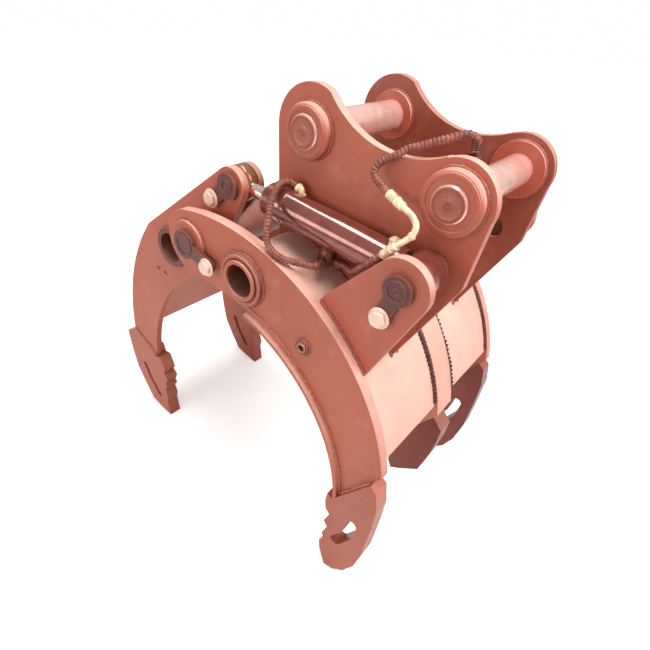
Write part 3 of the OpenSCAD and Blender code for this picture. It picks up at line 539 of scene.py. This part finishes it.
# Hoses in their ribbed guards: the radius, the groove's depth, the pitch, and the routes, on the far side
HOSE_R, RIB, PITCH = 9.0, 2.2, 8.5
HOSE_A = [[203, 222, 1160], [194, 223, 1164], [185, 225, 1168], [177, 242, 1170], [180, 268, 1163],
          [190, 300, 1140], [204, 326, 1104], [208, 338, 1072], [218, 344, 1050], [238, 345, 1036],
          [262, 341, 1027], [284, 329, 1021], [303, 314, 1016], [318, 303, 1012], [326, 289, 1010],
          [326, 280, 1010], [326, 271, 1010]]
HOSE_B = [[362, 241, 1010], [371, 241, 1010], [381, 241, 1010], [408, 257, 1013], [438, 282, 1033],
          [466, 297, 1060], [488, 297, 1082], [505, 287, 1098], [512, 286, 1104], [519, 286, 1111]]
HOSE_C = [[492, 241, 1204], [484, 239, 1207], [475, 237, 1210], [456, 234, 1220], [435, 231, 1232],
          [425, 227, 1246], [430, 222, 1260], [444, 214, 1272], [465, 205, 1285], [482, 195, 1297],
          [503, 187, 1305], [522, 180, 1313], [549, 170, 1324], [571, 160, 1333], [590, 151, 1337],
          [604, 146, 1328], [604, 146, 1319], [604, 146, 1310]]
PIPE = [[526, 286, 1118], [538, 286, 1130], [552, 282, 1143], [562, 276, 1155], [563, 268, 1172],
        [550, 260, 1184], [534, 254, 1191], [519, 249, 1195], [506, 245, 1199]]
PIPE_FAR = PIPE[:5] + [[548, 262, 1184], [528, 254, 1190], [518, 234, 1190], [518, 213, 1190]]


def ribbed_hose(name, route, body):
    """The hose's guard: rounded ribs with a narrow groove between, closed by its ends."""
    steps = 7
    line = spline(route)
    ribs = round(sum((b - a).length for a, b in zip(line, line[1:])) / PITCH)
    pts, length = even(line, ribs * steps)
    radii = []
    for i in range(len(pts)):
        t = (i % steps) / steps
        radii.append(HOSE_R - RIB * (abs(math.cos(math.pi * t)) ** 3))
    p = Parts()
    p.sweep(pts, radii)
    o = p.make(name + "_guard", HOSE, body, slot="hose_rubber", stands_for=(name,))
    return o, [q * MM for q in pts], length * MM


def crimp(name, a, heading, body, mat):
    """The crimped sleeve over a hose's end."""
    p = Parts()
    land, groove, step = 10.9, 10.1, 4.2
    prof = [(0, 0), (0, 10.4), (1.2, land)]
    for k in range(4):
        h = 3.5 + k * step
        prof += [(h, land), (h + 0.8, groove), (h + 2, groove), (h + 2.8, land)]
    prof += [(20.5, land), (21.5, 10.2), (21.5, 0)]
    p.lathe(a, heading, prof, n=24)
    return p.make(name, mat, body, slot="yellow_fitting" if mat is BRASS else "pin_steel")


def lay_hose(name, route, body, end_body, mats):
    """A hose with its two crimps. Between two bodies the guard rides neither and keeps its place in the
    world.
    """
    o, path, length = ribbed_hose(name, route, body if body == end_body else None)
    ends = [crimp(name + "_crimp_a", path[0] / MM, path[3] - path[0], body, mats[0]),
            crimp(name + "_crimp_b", path[-1] / MM, path[-4] - path[-1], end_body, mats[1])]
    if body != end_body:
        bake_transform(o)


for s, tag in SIDES:
    cylinder = "cylinder_" + tag
    lay_hose("hose_a_" + tag, mirrored(HOSE_A, s), cylinder, cylinder, (BLOCK, BLOCK))
    lay_hose("hose_b_" + tag, mirrored(HOSE_B, s), cylinder, cylinder, (BLOCK, BRASS))
lay_hose("hose_c", mirrored(HOSE_C, -1), "cylinder_near", "frame", (BRASS, BLOCK))


# Hard pipes and fittings
PIPE_R, ELBOW_R = 7.0, 8.6
# The hoses' block under the barrel: from the base pin along the barrel and square to it, and its half sides
BLOCK_BACK, BLOCK_DROP, BLOCK_HALF, BLOCK_HALF_UP = -247.0, 66.0, 17.9, 26.0
BARREL_PORT = (505.0, 1054.0)


def nut(p, at, axis, r, h, turn=0.0):
    p.hexagon(at, axis, r, h, 1.4, turn, domed=False)


def cylinder_axes(s):
    """The base pin's middle, the direction from the rod to the base and the one square to it."""
    tilt = math.radians(angle_of(ROD, BASE))
    along = Vector((math.cos(tilt), 0, math.sin(tilt)))
    square = Vector((-math.sin(tilt), 0, math.cos(tilt)))
    return Vector((BASE[0], s * CYL_Y, BASE[1])), along, square


def pipe_run(tag, pts):
    """The hard pipe, with a sleeve at each end and a clip a third of the way along."""
    p = Parts()
    p.sweep(pts, [PIPE_R] * len(pts))
    d0, d1 = (pts[1] - pts[0]).normalized(), (pts[-1] - pts[-2]).normalized()
    for at, d in ((pts[0], d0), (pts[-1] - d1 * 13, d1)):
        p.lathe(at, d, [(0, 0), (0, 9.6), (1, 10.2), (12, 10.2), (13, 9.4), (13, 0)], n=24)
    third = len(pts) // 3
    clip = [(0, 0), (0, 8.6), (0.8, 9.2), (7, 9.2), (8, 8.4), (8, 0)]
    p.lathe(pts[third], pts[third + 1] - pts[third], clip, n=24)
    p.make("pipe_run_" + tag, BRASS, "cylinder_" + tag, slot="yellow_fitting", stands_for=("pipe_" + tag,))


def hose_block(s, tag, a_end, b_start):
    """The block under the barrel, where hose A ends and hose B starts."""
    base, along, square = cylinder_axes(s)
    middle = base + along * BLOCK_BACK - square * BLOCK_DROP
    p = Parts()
    p.box(middle, along * BLOCK_HALF, Vector((0, BLOCK_HALF, 0)), square * BLOCK_HALF_UP, 2.5)
    for end, out, turn in ((b_start, Vector((1, 0, 0)), 0.0), (a_end, Vector((0, s, 0)), 0.2)):
        p.lathe(end - out * 14, out, [(0, 0), (0, 11), (3, 11), (3, 0)], n=24)
        nut(p, end - out * 12, out, 13.0, 11, turn)
    p.make("hose_block_" + tag, BLOCK, "cylinder_" + tag, slot="pin_steel")


def couplings(s, tag, a_start, a_next, b_end, pts):
    """Hose A's elbow, the joint of hose B with the pipe, the barrel's port and the pipe's far end."""
    up = Vector((0, 0, 1))
    p = Parts()
    into = (a_next - a_start).normalized()
    elbow = a_start - into * 14
    p.lathe(elbow - up * 30, up, [(0, 0), (0, 14.5), (9, 14.5), (11, 12.5), (12, 12.5), (12, 0)], n=28)
    nut(p, elbow - up * 18, up, 13.5, 10)
    bend = [elbow - up * 9]
    for k in range(9):
        a = math.radians(90 * k / 8)
        bend.append(elbow + into * (6 * (1 - math.cos(a))) + up * (8 * math.sin(a) - 4))
    bend.append(a_start - into)
    p.sweep(bend, [ELBOW_R] * len(bend))
    nut(p, a_start - into * 9, into, 13.0, 9, 0.3)
    socket(p, b_end, pts[0])
    nut(p, b_end + (pts[0] - b_end) * 0.1, pts[0] - b_end, 12.5, 8)
    port = Vector((BARREL_PORT[0], s * CYL_Y, BARREL_PORT[1]))
    p.lathe(port + up * 40, up, [(0, 0), (0, 15), (12, 15), (14, 13), (18, 13), (18, 0)], n=28)
    nut(p, port + up * 58, up, 13.5, 9, 0.4)
    p.lathe(port + up * 66, up, [(0, 0), (0, 7), (4, 7), (5, 5), (5, 0)], n=20)
    if s < 0:
        start_c = Vector(mirrored(HOSE_C, s)[0])
        socket(p, pts[-1], start_c, short=1.0)
        nut(p, pts[-1] + (start_c - pts[-1]).normalized() * 3, start_c - pts[-1], 12.5, 8)
    else:
        foot = Vector((pts[-1].x, HEAD_OUT + 1.5, pts[-1].z))
        socket(p, pts[-1], foot)
        nut(p, foot + Vector((0, 12, 0)), (0, -1, 0), 12.5, 10)
    p.make("couplings_" + tag, BRASS, "cylinder_" + tag, slot="yellow_fitting",
           stands_for=("fittings_" + tag,))


for s, tag in SIDES:
    a, b = [[Vector(q) for q in mirrored(route, s)] for route in (HOSE_A, HOSE_B)]
    pts, _ = even(spline(mirrored(PIPE if s < 0 else PIPE_FAR, s)), 60)
    pipe_run(tag, pts)
    hose_block(s, tag, a[-1], b[0])
    couplings(s, tag, a[0], a[1], b[-1], pts)

# The port of hose C, on the near plate's inner boss
PORT_Y, PORT_HALF_X, PORT_HALF_Y, PORT_HALF_Z = -152.0, 12.0, 18.0, 7.0
p = Parts()
end = Vector(mirrored(HOSE_C, -1)[-1])
seat = HEAD_B[1] + BOSS_B_R + 0.5
p.box((end.x, PORT_Y, seat + PORT_HALF_Z), (PORT_HALF_X, 0, 0), (0, PORT_HALF_Y, 0), (0, 0, PORT_HALF_Z), 1.5)
stem = end.z - seat - 13
p.lathe((end.x, end.y, seat + 13), (0, 0, 1), [(0, 0), (0, 11), (stem, 11), (stem, 0)], n=24)
nut(p, (end.x, end.y, seat + 14), (0, 0, 1), 13, 9)
p.make("hose_c_port", BLOCK, "frame", slot="pin_steel", stands_for=("hose_c_fitting",))


# Bolts
def bolt(p, c, y, s, turn):
    """A keeper bolt: a dished washer and a hexagon head, standing on the plate at |y|."""
    at = Vector((c[0], s * y, c[1]))
    ax = Vector((0, s, 0))
    p.lathe(at, ax, [(0, 0), (0, 25.2), (0.8, 26), (2.8, 26), (4.2, 24.6), (4.8, 20), (4.8, 0)], n=36)
    p.hexagon(at + ax * 4.4, ax, 21.5, 9.8, 2.2, turn)


p = Parts()
for s in (-1, 1):
    bolt(p, shifted(PIVOT, (95, -36)), PIVOT_FLAG, s, 0.2)
    bolt(p, shifted(BASE, (-32, -76)), BASE_FLAG, s, 0.7)
p.make("frame_bolts", ZINC, "frame", slot="zinc_bolt", stands_for=("frame_keeper_bolts",))
p = Parts()
for s in (-1, 1):
    bolt(p, shifted(ROD, (-62, -44)), ROD_FLAG, s, 0.4)
p.make("jaw_bolts", ZINC, "moving_jaw", slot="zinc_bolt", stands_for=("jaw_keeper_bolts",))


# Weld beads: points across a bead, and how deep its root lies in the corner
ACROSS, ROOT = 6, 0.6


class Bead(Parts):
    """Fillet welds: ripples laid in the corner of two faces."""

    def run(self, pts, us, vs, r, closed=False, pitch=5.0, wander=0.08, ripple=0.14):
        """pts is the corner's line, us and vs the directions along the two faces, away from the corner."""
        fine, fu, fv = [], [], []
        for i in range(len(pts) - (0 if closed else 1)):
            a, b = Vector(pts[i]), Vector(pts[(i + 1) % len(pts)])
            n = max(1, round((b - a).length / (pitch / 3)))
            for k in range(n):
                t = k / n
                fine.append(a.lerp(b, t))
                fu.append(Vector(us[i]).lerp(Vector(us[(i + 1) % len(pts)]), t).normalized())
                fv.append(Vector(vs[i]).lerp(Vector(vs[(i + 1) % len(pts)]), t).normalized())
        if not closed:
            fine.append(Vector(pts[-1]))
            fu.append(Vector(us[-1]).normalized())
            fv.append(Vector(vs[-1]).normalized())
        m = len(fine)
        low = 1 - ripple
        verts = []
        drift = random.random() * 6
        for i, (c, u, v) in enumerate(zip(fine, fu, fv)):
            k = (1.0, low, (1 + low) / 2)[i % 3]
            k *= 1 + wander * math.sin(i * 0.083 + drift) + 0.06 * math.sin(i * 0.41)
            if not closed:
                k *= min(1.0, 0.35 + 0.2 * min(i, m - 1 - i))
            verts.append((c - (u + v) * ROOT) * MM)
            for j in range(ACROSS):
                a = math.radians(90 * j / (ACROSS - 1))
                bulge = 0.86 + 0.06 * math.sin(2 * a)
                verts.append((c + (u * math.cos(a) + v * math.sin(a)) * r * k * bulge) * MM)
        self.add(verts, bands(m, ACROSS + 1, closed))

    def arc(self, c, r, a0, a1, y, uy, out, size, **more):
        """Along an arc between two directions at y: u runs along Y by the sign uy, v outward or inward."""
        n = max(4, int(abs(a1 - a0) / 2.5))
        pts, us, vs = [], [], []
        for k in range(n + 1):
            a = a0 + (a1 - a0) * k / n
            q = polar(c, r, a)
            d = polar((0, 0), 1, a)
            pts.append((q[0], y, q[1]))
            us.append((0, uy, 0))
            vs.append((d[0] * out, 0, d[1] * out))
        self.run(pts, us, vs, size, **more)

    def circle(self, c, r, y, sy, size):
        """Round a ring or tube that stands on the plate at y, on the side sy."""
        n = max(24, int(r))
        pts, us, vs = [], [], []
        for k in range(n):
            a = 360 * k / n
            q = polar(c, r, a)
            d = polar((0, 0), 1, a)
            pts.append((q[0], y, q[1]))
            us.append((d[0], 0, d[1]))
            vs.append((0, sy, 0))
        self.run(pts, us, vs, size, closed=True)

    def line(self, a, b, y, face, sy, size, **more):
        """Along a straight edge in side view: u along the face in the direction face, v along Y."""
        n = 8
        pts = [(a[0] + (b[0] - a[0]) * k / n, y, a[1] + (b[1] - a[1]) * k / n) for k in range(n + 1)]
        self.run(pts, [(face[0], 0, face[1])] * (n + 1), [(0, sy, 0)] * (n + 1), size, **more)


# The shell's welds, which start and end at directions in degrees
SHELL_LOW, PLATE_FOOT, EAR_FOOT, EAR_TOP, CURL_END = 11.5, 33.2, 34.2, 54.0, 165
SHELL_INNER = SHELL_R - SHELL_T
w = Bead()
for s in (-1, 1):
    w.arc(CURL_CENTRE, CURL_R, CURL_START, 150, s * CLAW_IN, -s, 1, 7)
    w.arc(CLAW_CENTRE, SHELL_INNER, 12, 62, s * CLAW_IN, -s, -1, 7)
    w.arc(CLAW_CENTRE, SHELL_INNER, 13, 60, s * MID_CLAW, s, -1, 7)
    for y, u in ((HEAD_OUT, s), (HEAD_IN, -s)):
        w.arc(CLAW_CENTRE, SHELL_R, PLATE_FOOT, CURL_START, s * y, u, 1, 8)
        w.arc(CURL_CENTRE, CURL_R, CURL_START, CURL_END, s * y, u, 1, 7)
    w.arc(CLAW_CENTRE, SHELL_R, EAR_FOOT, EAR_TOP, s * BASE_EAR_IN, -s, 1, 8)
    w.arc(CLAW_CENTRE, CLAW_R, EAR_FOOT + 0.2, EAR_TOP - 0.1, s * CLAW_IN, s, 1, 7)
w.make("weld_shell", WELD, "frame", slot="brick_paint")

# Heavy seams beside the middle claw and the outer claws, larger on the far side: weld beads coloured dark as
# painted shadow lines where the claws stand proud of the shell
w = Bead()
for s, seam, claw_seam in ((-1, 13, 6.5), (1, 17, 9.5)):
    w.arc(CLAW_CENTRE, SHELL_R, SHELL_LOW, CURL_START, s * MID_CLAW, s, 1, seam, pitch=14.0, ripple=0.4)
    w.arc(CLAW_CENTRE, SHELL_R, SHELL_LOW, CURL_START, s * CLAW_IN, -s, 1, claw_seam, pitch=12.0, ripple=0.45)
    w.arc(CURL_CENTRE, CURL_R, CURL_START, 128, s * MID_CLAW, s, 1, 8, pitch=9.0, ripple=0.3)
w.make("weld_middle", WELD_SHADOW, "frame", slot="brick_paint")

# Round the head's bosses and the base ears' sleeves
EAR_SLEEVE_R = 42
w = Bead()
for s in (-1, 1):
    for c, r in HEAD_BOSSES:
        w.circle(c, r, s * HEAD_OUT, s, 6)
        w.circle(c, r, s * HEAD_IN, -s, 5)
    w.circle(BASE, EAR_SLEEVE_R, s * HEAD_OUT, s, 6)
    w.circle(BASE, EAR_SLEEVE_R, s * BASE_EAR_IN, -s, 6)
w.make("weld_head", WELD, "frame", slot="brick_paint")

# Round the pivot bosses and the tubes: centre, radius, distance, side and size
w = Bead()
for s in (-1, 1):
    for c, r, y, sy, size in ((PIVOT, 66, CLAW_OUT, s, 5), (TUBE, 75, CLAW_OUT, s, 6),
                              (TUBE, 58, CLAW_IN, -s, 6), (SIDE_TUBE, 21, CLAW_OUT, s, 5),
                              (SIDE_TUBE, 15, CLAW_IN, -s, 4), (TUBE, 58, MID_CLAW, s, 6)):
        w.circle(c, r, s * y, sy, size)
w.make("weld_tubes", WELD, "frame", slot="brick_paint")

# Along the wear strips and across the tops of the fixed teeth
w = Bead()
claw_end = Vector((CLAW_END[0] - TOOTH_TOP[0], CLAW_END[1] - TOOTH_TOP[1])).normalized()
claw_face = (-claw_end.y, claw_end.x)
end_stop = shifted(TOOTH_TOP, claw_end * 176)
for s in (-1, 1):
    w.arc(STRIP_CENTRE, STRIP_R, 0.5, 72, s * CLAW_OUT, s, 1, 6.5, wander=0.1)
    for k in (1, 2):
        w.arc(STRIP_CENTRE, STRIP_R + 6 * k, 46 + 3 * k, 76 - k, s * (CLAW_OUT - 0.4), s, 1, 5, wander=0.1)
    w.line(shifted(TOOTH_TOP, claw_end * 6), end_stop, s * CLAW_OUT, claw_face, s, 7)
    w.line(shifted(TOOTH_TOP, claw_end * 22), end_stop, s * MID_TOOTH, claw_face, s, 8)
w.make("weld_strips", WELD_PALE, "frame", slot="brick_paint")

# The moving jaw: its cross plate, its bosses and the tops of its teeth
w = Bead()
jaw_end = Vector((JAW_INNER_END[0] - JAW_OUTER_END[0], JAW_INNER_END[1] - JAW_OUTER_END[1])).normalized()
jaw_face = (-jaw_end.y, jaw_end.x)
end_start, end_stop = shifted(JAW_OUTER_END, jaw_end * 4), shifted(JAW_INNER_END, jaw_end * -3)
for s in (-1, 1):
    w.arc(JAW_OUTER_CENTRE, JAW_SHELL_R, 136.5, 175.2, s * JAW_CLAW_IN, -s, 1, 7)
    w.arc(JAW_OUTER_CENTRE, JAW_SHELL_R - SHELL_T, 137.5, 175.2, s * JAW_CLAW_IN, -s, -1, 7)
    for c, r, y, sy in ((JAW_TUBE, 66, JAW_CLAW_OUT, s), (JAW_TUBE, 66, JAW_CLAW_IN, -s),
                        (JAW_TUBE, 66, ROD_EAR_IN, s), (PIVOT, 78, JAW_CLAW_OUT, s)):
        w.circle(c, r, s * y, sy, 5)
    w.line(end_start, end_stop, s * JAW_CLAW_OUT, jaw_face, s, 7)
w.make("weld_jaw", WELD, "moving_jaw", slot="brick_paint")


# Rings and ends that the photograph shows on bosses, tubes and pins
def rim(r0, r1, h):
    return [(-0.5, r0), (h - 1, r0), (h, r0 + 1), (h, r1 - 1), (h - 1, r1), (-0.5, r1)]


def side_rings(p, rows):
    """Rings on both sides, from rows of (centre, distance, inner radius, outer radius, height, steps)."""
    for s in (-1, 1):
        for c, y, r0, r1, h, n in rows:
            p.ring((c[0], s * y, c[1]), (0, s, 0), rim(r0, r1, h), n=n)


p = Parts()
side_rings(p, [(c, BOSS_OUT, r - 15, r - 6, 2.2, 56) for c, r in HEAD_BOSSES]
           + [(TUBE, TUBE_OUT, 46.2, 57, 7, 56), (TUBE, TUBE_OUT, 63, 72, 2, 56),
              (SIDE_TUBE, SIDE_TUBE_OUT, 9.2, 15, 3, 36)])
p.make("boss_rims", BRICK, "frame", slot="brick_paint")

PIN_FACE = [(0, 0), (0, 37), (1.4, 36), (1.4, 30), (0.7, 29), (0.7, 9), (1.5, 8), (1.5, 4), (0.8, 3),
            (0.8, 0.2)]
for key, c, body in (("a", HEAD_A, "pin_a"), ("b", HEAD_B, "pin_b")):
    p = Parts()
    for s in (-1, 1):
        p.lathe((c[0], s * PIN_OUT, c[1]), (0, s, 0), PIN_FACE, n=48)
    p.make("pin_face_" + key, PIN_END, body, slot="pin_steel")

p = Parts()
side_rings(p, [(PIVOT, PIVOT_FLAG - SINK, 26, 34, 2.4, 44), (BASE, BASE_FLAG - SINK, 20, 27, 2.4, 40),
               (BASE, BASE_FLAG - SINK, 6, 9, 1.4, 30)])
p.make("frame_pin_rings", DARK, "frame", slot="dark_pin")
p = Parts()
side_rings(p, [(ROD, ROD_FLAG - SINK, 14, 20, 2.4, 40), (ROD, ROD_FLAG - SINK, 4, 7, 1.4, 30)])
p.make("jaw_pin_rings", DARK, "moving_jaw", slot="dark_pin")

# Cylinders: weld ring at the base, gland rings, the wiper and the greased band of the rod's eye
BARREL_R = 44.0
for s, tag in SIDES:
    base, along, _ = cylinder_axes(s)
    p = Parts()
    r = BARREL_R
    for x, h in ((-421.0, 2.2), (-386.0, 1.4), (-66.0, 2.6)):
        band = [(-4, r - 3), (-4, r), (-3, r + h), (3, r + h), (4, r), (4, r - 3)]
        p.ring(base + along * x, along, band, n=56)
    p.make("barrel_bands_" + tag, BARREL, "cylinder_" + tag, slot="barrel_paint")
    p = Parts()
    p.ring(base + along * -456.5, along, [(-2.2, 19.3), (-2.2, 21), (-1, 25), (1.5, 30), (1.5, 19.3)], n=44)
    p.ring(base + along * -454.5, along, [(-0.9, 31), (-0.9, 36.5), (1, 37), (1, 31)], n=44)
    p.make("wiper_" + tag, HOSE, "cylinder_" + tag, slot="hose_rubber")
    p = Parts()
    band = [(-17.8, 48.4), (-17.8, 49.3), (17.8, 49.3), (17.8, 48.4)]
    p.ring((ROD[0], s * CYL_Y, ROD[1]), (0, 1, 0), band, n=64)
    p.make("eye_band_" + tag, EYE, "rod_" + tag, slot="pin_steel")


# Floor, light and world
FLOOR_HALF = 30.0
me = bpy.data.meshes.new("floor")
me.from_pydata([(x * FLOOR_HALF, y * FLOOR_HALF, 0) for x, y in ((-1, -1), (1, -1), (1, 1), (-1, 1))], [],
               [(0, 1, 2, 3)])
ground = bpy.data.objects.new("floor", me)
bpy.context.scene.collection.objects.link(ground)
m = Finish("floor_pale", 0.8, spec=0.1)
m.color(m.mix(m.noise(0.9, 3, 0.5), (0.86, 0.855, 0.85, 1.0), (0.9, 0.895, 0.89, 1.0)))
m.shader.inputs["Emission Color"].default_value = (1.0, 0.995, 0.99, 1.0)
seen = m.node("ShaderNodeLightPath").outputs["Is Camera Ray"]
far = m.node("ShaderNodeVectorMath", operation="LENGTH")
m.link(m.pos, far.inputs[0])
glow = m.ramp(far.outputs["Value"], 1.0, 5.0, 0.42, 1.0)
m.link(m.math("MULTIPLY", seen, glow), m.shader.inputs["Emission Strength"])
me.materials.append(m.material)


def area(name, place, target, size, power):
    d = bpy.data.lights.new(name, "AREA")
    d.shape = "RECTANGLE"
    d.size, d.size_y = size
    d.energy = power
    o = bpy.data.objects.new(name, d)
    o.location = place
    o.rotation_euler = (Vector(target) - Vector(place)).to_track_quat("-Z", "Y").to_euler()
    bpy.context.scene.collection.objects.link(o)


area("key", (2.8, 0.2, 3.2), (0.2, 0.0, 0.8), (1.6, 1.6), 120)
area("top", (-0.2, -0.4, 4.2), (0.1, 0.0, 0.9), (3.0, 0.8), 85)
area("front", (-1.2, -4.0, 1.9), (0.1, 0.0, 0.8), (3.0, 1.4), 58)

world = bpy.data.worlds.new("studio")
bpy.context.scene.world = world
world.use_nodes = True
tree = world.node_tree
back = next(n for n in tree.nodes if n.type == "BACKGROUND")
back.inputs[0].default_value = (1.0, 0.995, 0.99, 1.0)
ray = tree.nodes.new("ShaderNodeLightPath")
lift = tree.nodes.new("ShaderNodeMapRange")
lift.inputs["To Min"].default_value = 0.5
lift.inputs["To Max"].default_value = 1.0
tree.links.new(ray.outputs["Is Camera Ray"], lift.inputs["Value"])
tree.links.new(lift.outputs["Result"], back.inputs[1])
bpy.context.scene.view_settings.view_transform = "Standard"
